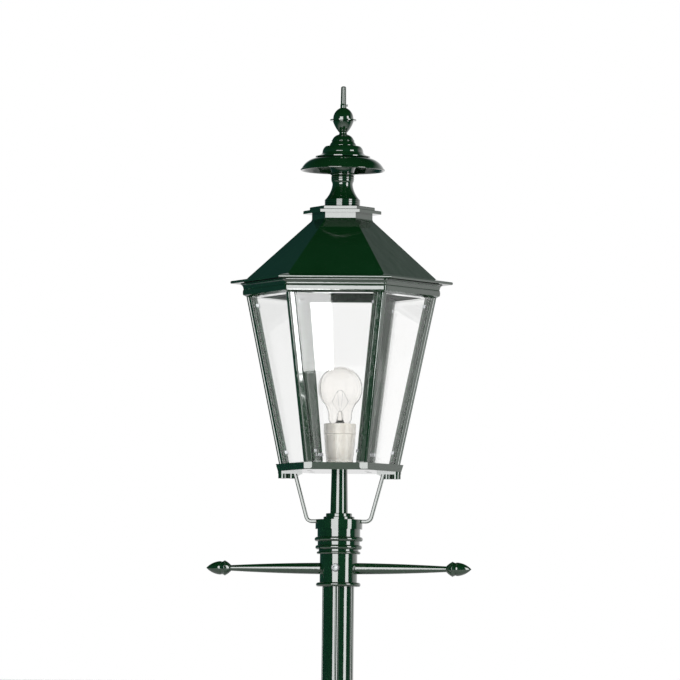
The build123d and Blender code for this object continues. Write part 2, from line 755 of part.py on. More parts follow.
def pan_screw(out, seat, way, grip):
    """Screw on a corner line: its head lies on the seat, against the way that it points."""
    ends = sorted((seat, seat + way * grip))
    head_ends = sorted((seat, seat - way * RIB_SCREW_HEAD_H))
    head = rod(RIB_SCREW_HEAD_R, *head_ends)
    rim = head.edges().filter_by(GeomType.CIRCLE).sort_by(Axis.Z)[0 if way > 0 else -1]
    return Pos(out, 0, 0) * (rod(RIB_SCREW_R, *ends) + fillet(rim, 1.0))


def make_foot_screws():
    screw = pan_screw(BOSS_OUT, Z_CAGE - TRAY_RIM_T, 1, TRAY_RIM_T + RIB_SCREW_GRIP)
    return Compound([(Rot(Z=turn) * screw).solid() for turn in foot_screw_turns()])


def make_head_screws():
    grip = FRAME_FLOOR_T + RIB_SCREW_GRIP
    screw = pan_screw(CAGE_HEAD_R - RIB_SCREW_IN, Z_FRAME + FRAME_FLOOR_T, -1, grip)
    return Compound([piece.solid() for piece in round_six(screw)])


def make_top_frame():
    z = Z_FRAME
    cove = FRAME_LIP_R - COVE_IN
    quirk = FRAME_LIP_R - QUIRK_IN
    floor = FRAME_LIP_R - FLOOR_IN
    frame = hex_ring([
        (FRAME_WALL_R, z + FRAME_H), (FRAME_SEAT_R, z + FRAME_H),
        (FRAME_LIP_R - 0.6, z + FRAME_LIP_TOP), (FRAME_LIP_R, z + FRAME_LIP_TOP - 0.8),
        (FRAME_LIP_R, z + FRAME_LIP), (cove, z + FRAME_COVE, -1.0),
        (quirk, z + FRAME_QUIRK), (FRAME_BAND_R - 0.6, z + FRAME_BAND_TOP),
        (FRAME_BAND_R - 0.6, z + FRAME_CHAMFER, 0.5), (FRAME_FOOT_R, z),
        (floor, z), (floor, z + FRAME_FLOOR_T), (FRAME_WALL_R, z + FRAME_FLOOR_T),
    ], FRAME_LIP_R - ROUND_IN)
    hole = Pos(CAGE_HEAD_R - RIB_SCREW_IN, 0, 0) * rod(RIB_SCREW_R, z, z + FRAME_FLOOR_T)
    for piece in round_six(hole):
        frame -= piece
    return frame


# Roof

def make_roof():
    run = (SLOPE_FOOT_R - NECK_R) * FLAT
    length = hypot(run, SLOPE_H)
    in_r = SHEET_T * SLOPE_H / length / FLAT
    down = SHEET_T * run / length
    per_rise = (SLOPE_FOOT_R - NECK_R) / SLOPE_H
    cove_r = NECK_R + NECK_COVE * per_rise
    ledge_in = SLOPE_FOOT_R - in_r + (EAVE_RISE - down - LEDGE_T) * per_rise
    neck_in = NECK_R - SHEET_T / FLAT
    inner_top = Z_SLOPE - down + (SLOPE_FOOT_R - in_r - neck_in) / per_rise
    return hex_ring([
        (neck_in, Z_VENT), (NECK_R, Z_VENT), (NECK_R, Z_NECK + NECK_COVE),
        (cove_r, Z_NECK - NECK_COVE, -0.6), (SLOPE_FOOT_R, Z_SLOPE),
        (EAVE_R, Z_SLOPE - EAVE_DROP), (EAVE_R, Z_SLOPE - EAVE_DROP - EAVE_T, 0.6),
        (SEAT_R, Z_ROOF), (LEDGE_R, Z_ROOF), (LEDGE_R, Z_ROOF + LEDGE_T),
        (ledge_in, Z_ROOF + LEDGE_T), (neck_in, inner_top),
    ])


def make_gasket():
    low = Z_SEAT + CLEAR
    outer = FRAME_SEAT_R - GASKET_IN
    inner = outer - GASKET_W
    return hex_ring([(inner, Z_ROOF), (outer, Z_ROOF), (outer, low), (inner, low)])


def make_vent_plate():
    step = Z_VENT + VENT_LOW_T
    plate = hexagon(VENT_LOW_R, Z_VENT, step)
    plate = chamfer(plate.faces().sort_by(Axis.Z)[-1].edges(), VENT_EDGE)
    top = hexagon(VENT_TOP_R, step, Z_CHIMNEY)
    plate += chamfer(top.faces().sort_by(Axis.Z)[-1].edges(), VENT_EDGE)
    plate -= rod(TIE_R, Z_VENT, Z_CHIMNEY)
    for turn in range(VENT_HOLES):
        hole = Pos(VENT_HOLE_OUT, 0, 0) * rod(VENT_HOLE_R, Z_VENT, Z_CHIMNEY)
        plate -= Rot(Z=360 / VENT_HOLES * turn) * hole
    return plate


def make_chimney():
    def at(radius, height, *bow):
        return (radius, Z_CHIMNEY + height, *bow)

    flare_foot = THROAT_BEAD + THROAT_BEAD_H
    bead_core = THROAT_BEAD_R - THROAT_BEAD_H / 2
    points = [at(FLARE_R - CHIMNEY_WALL, FLARE, -FLARE_BOW), at(FLARE_R, FLARE)]
    points += [at(bead_core, flare_foot, FLARE_BOW), at(bead_core, THROAT_BEAD, THROAT_BEAD_H / 2)]
    for ring in reversed(THROAT_RINGS):
        points += [at(THROAT_R, ring + RING_H), at(THROAT_R, ring, RING_H / 3)]
    points += [at(THROAT_R, THROAT), at(WAIST_R, WAIST, -0.4), at(DRUM_R, DRUM_H, WAIST_BOW)]
    for groove in reversed(DRUM_GROOVES):
        points += [at(DRUM_R, groove + GROOVE_H), at(DRUM_GROOVE_R, groove + GROOVE_H / 2)]
        points += [at(DRUM_R, groove)]
    drum_in = DRUM_R - 1.5 * CHIMNEY_WALL
    points += [at(DRUM_R, 0), at(drum_in, 0), at(drum_in, DRUM_H)]
    points += [at(WAIST_R - CHIMNEY_WALL, WAIST, -WAIST_BOW)]
    points += [at(WAIST_R - CHIMNEY_WALL, THROAT_BEAD)]
    chimney = turned(points)
    slot = Pos(FLARE_R, 0, Z_CAP) * Box(2 * FLARE_R, SLOT_W, 2 * SLOT_H)
    for piece in round_six(slot):
        chimney -= piece
    return chimney


def make_cap():
    def at(radius, height, *bow):
        return (radius, Z_CAP + height, *bow)

    rim_in = CAP_RIM_R - CAP_SHELL
    return turned([
        at(TIE_R, CAP_TOP), at(CAP_TOP_R, CAP_TOP), at(DOME_BEAD_R, DOME_BEAD, 1.3),
        at(DOME_BEAD_R, DOME_BEAD - DOME_BEAD_H, DOME_BEAD_H / 2),
        at(DOME_R, DOME, 0.4), at(DOME_R + 0.8, TIER_TOP, -0.4), at(TIER_TOP_R, TIER_TOP),
        at(TIER_LOW_R, TIER_LOW, TIER_BOW), at(TIER_LOW_R + 0.6, TIER_LOW - 1.6),
        at(CAP_SKIRT_R, CAP_SKIRT, -0.7), at(CAP_SKIRT_R, CAP_SKIRT - CAP_SKIRT_T),
        at(CAP_BRIM_R, CAP_BRIM), at(CAP_RIM_R, CAP_RIM, CAP_BRIM_BOW),
        at(CAP_RIM_R, CAP_RIM - RIM_BEAD_H, RIM_BEAD_H / 2), at(rim_in, CAP_RIM - RIM_BEAD_H / 2),
        at(FLARE_R + CAP_SHELL, 0, -CAP_BRIM_BOW), at(TIE_R, 0),
    ])


def make_knop():
    def at(radius, height, *bow):
        return (radius, Z_FINIAL + height, *bow)

    stud_end = KNOP_TOP - DISC_STUD + DISC_T
    return turned([
        at(DISC_STUD_R, KNOP_TOP), at(KNOP_R - 0.8, KNOP_TOP), at(KNOP_R, KNOP, 0.3),
        at(KNOP_NECK_R, KNOP_NECK, KNOP_BOW), at(KNOP_FOOT_R, 0, -0.6), at(TIE_R, 0),
        at(TIE_R, TIE_GRIP), at(0, TIE_GRIP), at(0, stud_end), at(DISC_STUD_R, stud_end),
    ])


def make_ball():
    def at(radius, height, *bow):
        return (radius, Z_BALL + height, *bow)

    return turned([
        at(SPIKE_STUD_R, BALL_H), at(SPIKE_FOOT_R, BALL_H), at(BALL_R, 0, BALL_BOW),
        at(DISC_STUD_R, 0), at(DISC_STUD_R, -DISC_STUD), at(0, -DISC_STUD),
        at(0, BALL_H - SPIKE_STUD), at(SPIKE_STUD_R, BALL_H - SPIKE_STUD),
    ])


def spike_pin_solid():
    pin = rod(SPIKE_PIN_R, -SPIKE_FOOT_R, SPIKE_FOOT_R + SPIKE_PIN_PROUD)
    return Pos(0, 0, Z_SPIKE + SPIKE_PIN) * Rot(Y=90) * pin


def make_spike():
    def at(radius, height, *bow):
        return (radius, Z_SPIKE + height, *bow)

    shoulder = SPIKE_H - 1.4
    spike = turned([
        at(0, SPIKE_H), at(SPIKE_R - 0.3, shoulder, 0.8), at(SPIKE_R, SPIKE_FOOT),
        at(SPIKE_FOOT_R, 0, 0.2), at(SPIKE_STUD_R, 0), at(SPIKE_STUD_R, -SPIKE_STUD),
        at(0, -SPIKE_STUD),
    ])
    return spike - spike_pin_solid()


def make_tie_nut():
    washer = Z_VENT - TIE_WASHER_T
    nut = rod(TIE_WASHER_R, washer, Z_VENT) + hexagon(TIE_NUT_R, washer - TIE_NUT_H, washer)
    return nut - rod(TIE_R, washer - TIE_NUT_H, Z_VENT)


# Hinge and catch

def hinge_spans():
    """X ranges of the two outer eyes, on the frame, and of the middle eye, on the roof."""
    half = HINGE_MID / 2
    return ((-HINGE_W / 2, -half - CLEAR), (half + CLEAR, HINGE_W / 2)), (-half, half)


def across(face, low, high):
    """Extrudes a face that stands on the YZ plane from X = low to X = high."""
    return extrude(Pos(low, 0, 0) * face, high - low, dir=(1, 0, 0))


def on_yz(points):
    """Closed face in the YZ plane from (y, z) points."""
    return Plane.YZ * make_face(Polyline(*points, close=True))


def eye(low, high, hole_r):
    ring = Pos(HINGE_Y, HINGE_Z) * (Circle(HINGE_EYE_R) - Circle(hole_r))
    return across(Plane.YZ * ring, low, high)


def make_fixed_leaf():
    outer, middle = hinge_spans()
    band = FRAME_BAND_R * FLAT
    low = Z_FRAME + FRAME_CHAMFER
    high = Z_FRAME + FRAME_BAND_TOP
    web = HINGE_LEAF_T / 2
    pad = on_yz([
        (band, low), (band, high), (HINGE_Y + web, high), (HINGE_Y + web, high - HINGE_LEAF_T),
        (band + HINGE_LEAF_T, high - HINGE_LEAF_T), (band + HINGE_LEAF_T, low),
    ])
    leaf = across(pad, -HINGE_W / 2, HINGE_W / 2)
    ear = on_yz([
        (HINGE_Y - web, high - HINGE_LEAF_T), (HINGE_Y + web, high - HINGE_LEAF_T),
        (HINGE_Y + web, HINGE_Z), (HINGE_Y - web, HINGE_Z),
    ])
    for low_x, high_x in outer:
        leaf += across(ear, low_x, high_x)
        leaf += eye(low_x, high_x, HINGE_PIN_R)
        leaf -= Pos(0, HINGE_Y, HINGE_Z) * Rot(Y=90) * rod(HINGE_PIN_R, low_x, high_x)
    return leaf


def make_moving_leaf():
    outer, (low_x, high_x) = hinge_spans()
    edge = EAVE_R * FLAT
    tip_z = Z_SLOPE - EAVE_DROP - EAVE_T
    rise = (Z_ROOF - tip_z) / ((EAVE_R - SEAT_R) * FLAT)
    root_z = tip_z + HINGE_TONGUE * rise
    tongue = on_yz([
        (edge - HINGE_TONGUE, root_z), (edge, tip_z), (HINGE_Y, tip_z),
        (HINGE_Y, tip_z - HINGE_LEAF_T), (edge, tip_z - HINGE_LEAF_T),
        (edge - HINGE_TONGUE, root_z - HINGE_LEAF_T),
    ])
    hole_r = HINGE_PIN_R + RUNNING
    leaf = across(tongue, low_x, high_x) + eye(low_x, high_x, hole_r)
    return leaf - Pos(0, HINGE_Y, HINGE_Z) * Rot(Y=90) * rod(hole_r, low_x, high_x)


def make_hinge_pin():
    half = HINGE_W / 2
    pin = rod(HINGE_PIN_R, -half, half)
    for way in (-1, 1):
        ends = sorted((way * half, way * (half + HINGE_PIN_HEAD)))
        pin += rod(HINGE_PIN_HEAD_R, *ends)
    return Pos(0, HINGE_Y, HINGE_Z) * Rot(Y=90) * pin


def make_catch():
    wall = FRAME_WALL_R * FLAT - CATCH_GAP
    foot = LEDGE_R * FLAT
    tongue = on_yz([
        (-foot, Z_ROOF), (-wall, Z_ROOF), (-wall, Z_ROOF - CATCH_H),
        (-wall + CATCH_T, Z_ROOF - CATCH_H), (-wall + CATCH_T, Z_ROOF - CATCH_T),
        (-foot, Z_ROOF - CATCH_T),
    ])
    return across(tongue, -CATCH_W / 2, CATCH_W / 2)


# Lampholder and lamp

def make_foot_plate():
    return tube(FOOT_PLATE_R, NIPPLE_R, Z_HOLDER, Z_HOLDER + FOOT_PLATE_T)


def make_nipple():
    return tube(NIPPLE_R, NIPPLE_BORE_R, Z_HOLDER - NIPPLE_DOWN, Z_HOLDER + NIPPLE_UP)


def holder_screw_spots():
    return (Pos(0, -HOLDER_SCREW_OUT, 0), Pos(0, HOLDER_SCREW_OUT, 0))


def make_holder_body():
    low = Z_HOLDER + FOOT_PLATE_T
    cup = SHELL_R + SHELL_T
    body = turned([
        (cup, Z_RING), (HOLDER_TOP_R, Z_RING), (HOLDER_LOW_R, Z_HOLDER + HOLDER_LOW, 0.4),
        (HOLDER_FOOT_R, low, 1.2), (NIPPLE_R, low), (NIPPLE_R, Z_CONTACT), (cup, Z_CONTACT),
    ])
    for spot in holder_screw_spots():
        body -= spot * rod(HOLDER_SCREW_R, Z_CONTACT - HOLDER_SCREW_GRIP, Z_CONTACT)
    return body


def make_holder_ring():
    cup = SHELL_R + SHELL_T
    step = Z_RIM - SHELL_DROP
    return turned([
        (HOLDER_MOUTH_R, Z_RIM), (HOLDER_RING_R - 0.8, Z_RIM), (HOLDER_RING_R, Z_RIM - 0.8, 0.2),
        (HOLDER_RING_R, Z_RING + 0.6), (HOLDER_RING_R - 0.6, Z_RING), (cup, Z_RING),
        (cup, step), (HOLDER_MOUTH_R, step),
    ])


def make_shell():
    return tube(SHELL_R + SHELL_T, SHELL_R, Z_CONTACT, Z_RIM - SHELL_DROP)


def make_contact():
    top = Z_CONTACT + CONTACT_H
    strip = outline([
        (-CONTACT_REACH, Z_CONTACT + CONTACT_T), (-CONTACT_REACH / 2, Z_CONTACT + CONTACT_T),
        (-CONTACT_T, top), (BULB_TIP_R, top), (BULB_TIP_R, top - CONTACT_T),
        (0, top - CONTACT_T), (CONTACT_T - CONTACT_REACH / 2, Z_CONTACT),
        (-CONTACT_REACH, Z_CONTACT),
    ])
    return extrude(strip, CONTACT_W / 2, both=True)


def make_holder_screws():
    screw = rod(HOLDER_SCREW_R, Z_CONTACT - HOLDER_SCREW_GRIP, Z_CONTACT)
    screw += rod(HOLDER_SCREW_HEAD_R, Z_CONTACT, Z_CONTACT + HOLDER_SCREW_HEAD_H)
    return Compound([(spot * screw).solid() for spot in holder_screw_spots()])


def bulb_form(inset):
    """Solid of the bulb's outside, or of its hollow when inset by the glass."""
    ball = BULB_R - inset
    centre = Z_TIP + BULB_H - BULB_R
    turn_r = BULB_TURN - inset
    turn_z = centre - sqrt(ball ** 2 - turn_r ** 2)
    crown = centre + ball
    chord = hypot(turn_r, crown - turn_z)
    sag = ball - sqrt(ball ** 2 - (chord / 2) ** 2)
    foot = Z_RIM - BULB_SKIRT / 2
    neck = Z_RIM + BULB_NECK
    return turned([
        (0, crown), (turn_r, turn_z, sag), (BULB_NECK_R - inset, neck, BULB_NECK_BOW),
        (BULB_FOOT_R - inset, Z_RIM, 0.6), (BULB_FOOT_R - inset, foot), (0, foot),
    ])


def make_bulb_cap():
    low = Z_RIM - BULB_CAP_H
    skirt = Z_RIM - BULB_SKIRT
    inner = BULB_CAP_R - CAP_METAL
    seat = Z_RIM - BULB_SKIRT / 2
    return turned([
        (BULB_FOOT_R, Z_RIM), (BULB_SKIRT_R, Z_RIM), (BULB_CAP_R, skirt), (BULB_CAP_R, low),
        (BULB_BASE_R, low), (BULB_BASE_R, low + CAP_METAL), (inner, low + CAP_METAL),
        (inner, seat), (BULB_FOOT_R, seat),
    ])


def make_bulb_base():
    low = Z_RIM - BULB_CAP_H
    foot = low - BULB_BASE_H
    return turned([
        (0, low + CAP_METAL), (BULB_BASE_R, low + CAP_METAL), (BULB_BASE_R, low),
        (BULB_TIP_R, foot), (BULB_TIP_R, Z_TIP), (0, Z_TIP),
    ])


def make_mount():
    foot = Z_RIM - BULB_SKIRT / 2
    return turned([
        (0, Z_RIM + MOUNT_H), (MOUNT_R - 1.0, Z_RIM + MOUNT_H, 0.4),
        (MOUNT_R, Z_RIM + MOUNT_WAIST), (BULB_FOOT_R - BULB_GLASS, foot, -2.0), (0, foot),
    ])


def filament_points():
    low = Z_RIM + FILAMENT_LOW
    high = Z_RIM + FILAMENT_HIGH
    return [
        Vector(-FILAMENT_ENDS, 0, low), Vector(-FILAMENT_BEND, 0, high),
        Vector(FILAMENT_BEND, 0, high), Vector(FILAMENT_ENDS, 0, low),
    ]


def wire(start, end, radius):
    along = end - start
    section = Plane(start, z_dir=along) * Circle(radius)
    return extrude(section, along.length)


def make_filament():
    points = filament_points()
    filament = Part()
    for start, end in zip(points, points[1:]):
        filament += wire(start, end, FILAMENT_R)
    for point in points[1:-1]:
        filament += Pos(point) * Sphere(FILAMENT_R)
    return filament


def make_support_wires():
    root = Vector(0, 0, Z_RIM + MOUNT_H - 1.0)
    wires = Part()
    for point in filament_points():
        side = Vector(0.25 * point.X, 0, 0)
        wires += wire(root + side, point, WIRE_R)
    return wires - make_filament() - make_mount()


# Every node of the object
NODES = {
    "post_shaft": make_post,
    "collar": make_collar,
    "clamp_screws": make_clamp_screws,
    "ladder_bar_left": lambda: bar_place(-1) * make_bar(),
    "ladder_bar_right": lambda: bar_place(1) * make_bar(),
    "bar_tip_left": lambda: bar_place(-1) * make_tip(),
    "bar_tip_right": lambda: bar_place(1) * make_tip(),
    "stem": make_stem,
    "stem_cover_ring": make_cover_ring,
    "stem_nut": make_stem_nut,
    "bracket_left": lambda: Rot(Z=180) * make_bracket(),
    "bracket_right": make_bracket,
    "bracket_screws": make_bracket_screws,
    "base_tray": make_tray,
    "base_plate": make_base_plate,
    "pane_clips": make_clips,
    "rib_foot_screws": make_foot_screws,
    "rib_head_screws": make_head_screws,
    "top_frame": make_top_frame,
    "hinge_fixed_leaf": make_fixed_leaf,
    "hinge_pin": make_hinge_pin,
    "lampholder_foot": make_foot_plate,
    "lampholder_nipple": make_nipple,
    "lampholder_body": make_holder_body,
    "lampholder_ring": make_holder_ring,
    "lampholder_shell": make_shell,
    "lampholder_contact": make_contact,
    "lampholder_screws": make_holder_screws,
    "roof": make_roof,
    "roof_gasket": make_gasket,
    "vent_plate": make_vent_plate,
    "chimney": make_chimney,
    "cap": make_cap,
    "finial_knop": make_knop,
    "finial_disc": lambda: tube(DISC_R, DISC_STUD_R, Z_DISC, Z_BALL),
    "finial_ball": make_ball,
    "spike": make_spike,
    "spike_pin": spike_pin_solid,
    "tie_rod": lambda: rod(TIE_R, Z_VENT - TIE_TAIL, Z_FINIAL + TIE_GRIP),
    "tie_nut": make_tie_nut,
    "hinge_moving_leaf": make_moving_leaf,
    "catch_spring": make_catch,
    "bulb_glass": lambda: bulb_form(0) - bulb_form(BULB_GLASS),
    "bulb_cap": make_bulb_cap,
    "bulb_base": make_bulb_base,
    "bulb_mount": make_mount,
    "filament": make_filament,
    "filament_wires": make_support_wires,
}

os.makedirs("parts", exist_ok=True)
for name, make in NODES.items():
    save(name, make())
for number, (rib, pane) in enumerate(zip(round_six(make_rib()), round_six(make_pane())), start=1):
    save(f"rib_{number}", rib)
    save(f"glass_{number}", pane)
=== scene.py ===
import json
from math import cos, pi, radians, sin

import bpy
from mathutils import Matrix, Vector


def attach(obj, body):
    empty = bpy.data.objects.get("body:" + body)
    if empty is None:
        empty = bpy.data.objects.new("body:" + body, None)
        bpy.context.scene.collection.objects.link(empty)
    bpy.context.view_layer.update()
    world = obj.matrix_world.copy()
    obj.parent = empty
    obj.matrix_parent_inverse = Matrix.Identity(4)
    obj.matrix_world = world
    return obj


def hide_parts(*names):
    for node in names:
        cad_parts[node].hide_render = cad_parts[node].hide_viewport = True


# Post top lantern: materials, a few fine pieces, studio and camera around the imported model.
# Metres, +Z up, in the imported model's frame; the front looks along -Y. Azimuths are measured
# to the right of the front, and rises upward. Colours are linear.

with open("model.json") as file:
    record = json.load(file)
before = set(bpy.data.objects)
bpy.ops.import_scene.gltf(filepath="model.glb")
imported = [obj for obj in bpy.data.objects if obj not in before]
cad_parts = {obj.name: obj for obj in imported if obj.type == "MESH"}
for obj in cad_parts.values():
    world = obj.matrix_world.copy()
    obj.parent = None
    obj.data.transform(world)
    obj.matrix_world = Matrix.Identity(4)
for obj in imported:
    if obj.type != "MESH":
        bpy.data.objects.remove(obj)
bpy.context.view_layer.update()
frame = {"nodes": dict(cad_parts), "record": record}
nodes = frame["nodes"]

MM = 0.001
WHITE = (1.0, 1.0, 1.0)

# Camera, fitted to the photograph: it stands a little to the right and looks up slightly
CAMERA_AZIMUTH = radians(3.92)
CAMERA_RISE = radians(3.52)
CAMERA_ROLL = radians(0.62)
CAMERA_DISTANCE = 9.0
CAMERA_LENS = 349.9
CAMERA_REACH = 50.0
SENSOR = 36.0
AIM_HEIGHT = 0.47727
AIM_SIDE = -0.001236

# Floor, which fades out between two radii
FLOOR_R = 1.35
FLOOR_FADE = (0.75, FLOOR_R * 0.98)
FLOOR_STEPS = 96
FLOOR_DROP = 0.0005
FLOOR_COLOUR = (0.86, 0.86, 0.86)
FLOOR_ROUGH = 0.9

# What gloss mirrors around the object: a bright backdrop, a dim studio and a dark ceiling.
# The edges are ranges of the view direction's dot product with the backdrop's or with +Z.
BACKDROP_AZIMUTH = radians(150.0)
BACKDROP_EDGE = (0.56, 0.74)
BACKDROP_TOP = (0.18, 0.62)
BACKDROP_GLOW = (0.80, 0.80, 0.80)
STUDIO_DIM = (0.018, 0.062, 0.060)
CEILING_EDGE = (0.2, 0.75)
CEILING_DIM = (0.002, 0.004, 0.004)

# Soft boxes around a point in the middle of the cage; angles in degrees
AIM = Vector((0.0, 0.0, 0.45))
SOFT_BOXES = {
    "soft_box_left": {
        "azimuth": -16.7, "rise": 5.5, "distance": 2.6,
        "width": 1.61, "height": 1.8, "radiance": 5.5,
    },
    "soft_box_right": {
        "azimuth": 57.5, "rise": 6.0, "distance": 2.6,
        "width": 0.92, "height": 2.2, "radiance": 5.5,
    },
    "soft_box_low": {
        "azimuth": -10.45, "rise": -15.2, "distance": 2.80,
        "width": 0.60, "height": 0.167, "radiance": 16.0,
    },
    "soft_box_top": {
        "azimuth": 0.0, "rise": 89.0, "distance": 2.6,
        "width": 2.2, "height": 2.2, "radiance": 2.4, "mirrored": False,
    },
}

# Textures: a scale is in repeats per metre, a relief is a bump's distance and strength
NOISE_MIDDLE = (0.3, 0.7)
PAINT_PATCH_SCALE = 14.0
PAINT_PATCH_RANGE = (0.3, 0.72)
PAINT_DEEP = (0.0026, 0.0215, 0.0052)
PAINT_PALE = (0.0040, 0.0290, 0.0085)
PAINT_GRAIN_SCALE = 260.0
PAINT_ROUGH = (0.05, 0.12)
PAINT_RIPPLE_SCALE = 42.0
PAINT_RIPPLE = (0.0011, 0.16)
PAINT_PEEL_SCALE = 620.0
PAINT_PEEL = (0.00010, 0.08)
PAINT_SPECULAR = 0.8
PAINT_COAT = {"Coat Weight": 1.0, "Coat Roughness": 0.03, "Coat IOR": 1.6}
METAL_GRAIN_SCALE = 400.0
METAL_PATCH_SCALE = METAL_GRAIN_SCALE / 12
METAL_GRAIN = (0.00005, 0.25)
GLASS_HAZE_SCALE = 30.0
GLASS_HAZE_RANGE = (0.35, 0.75)
GLASS_ROUGH = (0.0, 0.035)
GLASS_WAVE_STRENGTH = 0.3
GLASS_SHADOW = (0.93, 0.95, 0.94)
PORCELAIN_CLOUD_SCALE = 55.0
PORCELAIN_CLOUD_RANGE = (0.3, 0.75)
PORCELAIN_DEEP = (0.58, 0.53, 0.485)
PORCELAIN_PALE = (0.65, 0.605, 0.56)
PORCELAIN_ROUGH = (0.18, 0.32)
PORCELAIN_GLAZE_SCALE = 160.0
PORCELAIN_GLAZE = (0.0003, 0.2)
PORCELAIN_COAT = {"Coat Weight": 0.7, "Coat Roughness": 0.05}
PORCELAIN_DEPTH = {"Subsurface Weight": 0.08, "Subsurface Radius": (0.002, 0.0016, 0.0012)}
DULL_GRAIN_SCALE = 900.0
DULL_PATCH_SCALE = 60.0
DULL_GRAIN = (0.0001, 0.3)

# Deeper tone, paler tone and range of roughness of each plain material
METALS = {
    "steel": ((0.17, 0.18, 0.18), (0.28, 0.29, 0.29), (0.30, 0.48)),
    "spring_steel": ((0.42, 0.43, 0.45), (0.62, 0.63, 0.65), (0.16, 0.30)),
    "brass": ((0.50, 0.35, 0.14), (0.72, 0.53, 0.24), (0.20, 0.36)),
    "cap_metal": ((0.60, 0.60, 0.59), (0.74, 0.74, 0.73), (0.18, 0.32)),
    "tungsten": ((0.16, 0.16, 0.17), (0.30, 0.30, 0.31), (0.30, 0.45)),
}
DULLS = {
    "gasket_rubber": ((0.012, 0.012, 0.012), (0.028, 0.028, 0.027), (0.55, 0.8)),
    "black_insulator": ((0.010, 0.010, 0.012), (0.022, 0.022, 0.024), (0.2, 0.4)),
}

# Tint, IOR, and the waves' distance and scale, of each glass
GLASSES = {
    "pane_glass": ((0.995, 0.995, 0.99), 1.45, 0.00004, 9.0),
    "bulb_glass": ((0.995, 0.98, 0.96), 1.3, 0.00003, 45.0),
}

# Filament and its wires. Points are in millimetres, out from the axis and up from the
# lampholder's rim, which lies at the height RIM_Z.
RIM_Z = 363.2
MOUNT_TOP = 17.0
FILAMENT_POINTS = ((-11.0, 0.0, 30.3), (-3.6, 0.0, 44.0), (3.6, 0.0, 44.0), (11.0, 0.0, 30.3))
FILAMENT_STEPS = 40
COIL_R = 0.30 * MM
COIL_WIRE_R = 0.07 * MM
COIL_PITCH = 0.42 * MM
COIL_STEPS = 12
COIL_SIDES = 5
SUPPORT_R = 0.15 * MM
SUPPORT_SIDES = 8
SUPPORT_STEPS = 8
SUPPORT_SINK = 1.0              # millimetres that the supports' roots lie in the glass stem
SUPPORT_ROOT = 0.12             # share of a hook's distance from the axis at its wire's root
SUPPORT_BEND = 0.45             # place of the bend on the wire
SUPPORT_BEND_OUT = 0.10         # share of the hook's distance that the bend adds
SUPPORT_BEND_UP = 0.4 * MM
HOOK_R = 0.55 * MM
HOOK_WIRE_R = 0.16 * MM
HOOK_STEPS = 12                 # in a full turn; the hook leaves the last one open
HOOK_SIDES = 6
LEAD_POINTS = (
    (5.2, 0.0, 1.5), (4.6, 0.0, 5.0), (3.8, 0.0, 9.0), (4.1, 0.0, 12.0), (1.4, 0.0, 17.5),
)
LEAD_R = 0.24 * MM
LEAD_SIDES = 8
LEAD_STEPS = 10
TUBE_GUIDE = Vector((0.31, 0.95, 0.02))     # no tube here starts along it

# Bulb's cap, in millimetres apart from the thread's own pitch and depth
CAP_R = 13.2
CAP_HEIGHT = 22.2
CAP_SKIRT = 3.6
CAP_SKIRT_R = 14.2
CAP_SKIRT_EDGE = 0.3
CAP_SKIRT_FOOT = 0.8
CAP_SKIRT_TAPER = 0.2
CAP_FOOT_R = 13.0
CAP_INNER_R = 12.0
CAP_BASE_R = 9.0
CAP_GLASS_SEAT = 1.8
CAP_METAL = 0.6
CAP_SHARP = radians(35)
THREAD_PITCH = 3.6 * MM
THREAD_DEPTH = 0.75 * MM
THREAD_FADE = 1.5
THREAD_STEPS = 72
THREAD_ROWS = 60


# Materials: small helpers, then one function for each kind

def new_material(name):
    material = bpy.data.materials.new(name)
    material.use_nodes = True
    tree = material.node_tree
    return material, tree, tree.nodes["Principled BSDF"]


def add(tree, kind, **settings):
    """New node; a setting is a property of the node, or else the value of a socket."""
    node = tree.nodes.new(kind)
    for key, value in settings.items():
        if hasattr(node, key):
            setattr(node, key, value)
        else:
            node.inputs[key.replace("_", " ")].default_value = value
    return node


def set_sockets(shader, values):
    for key, value in values.items():
        shader.inputs[key].default_value = value


def place(tree):
    """Object coordinates in metres."""
    return add(tree, "ShaderNodeTexCoord").outputs["Object"]


def noise(tree, vector, scale, detail=3.0):
    texture = add(tree, "ShaderNodeTexNoise", Scale=scale, Detail=detail)
    tree.links.new(vector, texture.inputs["Vector"])
    return texture.outputs["Fac"]


def spread(tree, value, source, target=(0.0, 1.0)):
    """Maps a value from one range to another, clamped."""
    node = add(
        tree, "ShaderNodeMapRange", From_Min=source[0], From_Max=source[1],
        To_Min=target[0], To_Max=target[1],
    )
    tree.links.new(value, node.inputs["Value"])
    return node.outputs["Result"]


def blend(tree, value, source, first, last):
    """Runs from the first colour to the last while the value crosses a range."""
    node = add(tree, "ShaderNodeValToRGB")
    for element, spot, colour in zip(node.color_ramp.elements, source, (first, last)):
        element.position = spot
        element.color = (*colour, 1.0)
    tree.links.new(value, node.inputs["Fac"])
    return node.outputs["Color"]


def bump(tree, *layers):
    """Stacked bumps from (height, relief) layers."""
    normal = None
    for height, (distance, strength) in layers:
        node = add(tree, "ShaderNodeBump", Distance=distance, Strength=strength)
        tree.links.new(height, node.inputs["Height"])
        if normal:
            tree.links.new(normal, node.inputs["Normal"])
        normal = node.outputs["Normal"]
    return normal


def math_node(tree, operation, first, second):
    node = add(tree, "ShaderNodeMath", operation=operation)
    tree.links.new(first, node.inputs[0])
    tree.links.new(second, node.inputs[1])
    return node.outputs["Value"]


def mix_surfaces(tree, factor, first, second):
    """Shows the second shader in place of the first by the factor."""
    mix = add(tree, "ShaderNodeMixShader")
    tree.links.new(factor, mix.inputs["Fac"])
    tree.links.new(first.outputs["BSDF"], mix.inputs[1])
    tree.links.new(second.outputs["BSDF"], mix.inputs[2])
    tree.links.new(mix.outputs["Shader"], tree.nodes["Material Output"].inputs["Surface"])


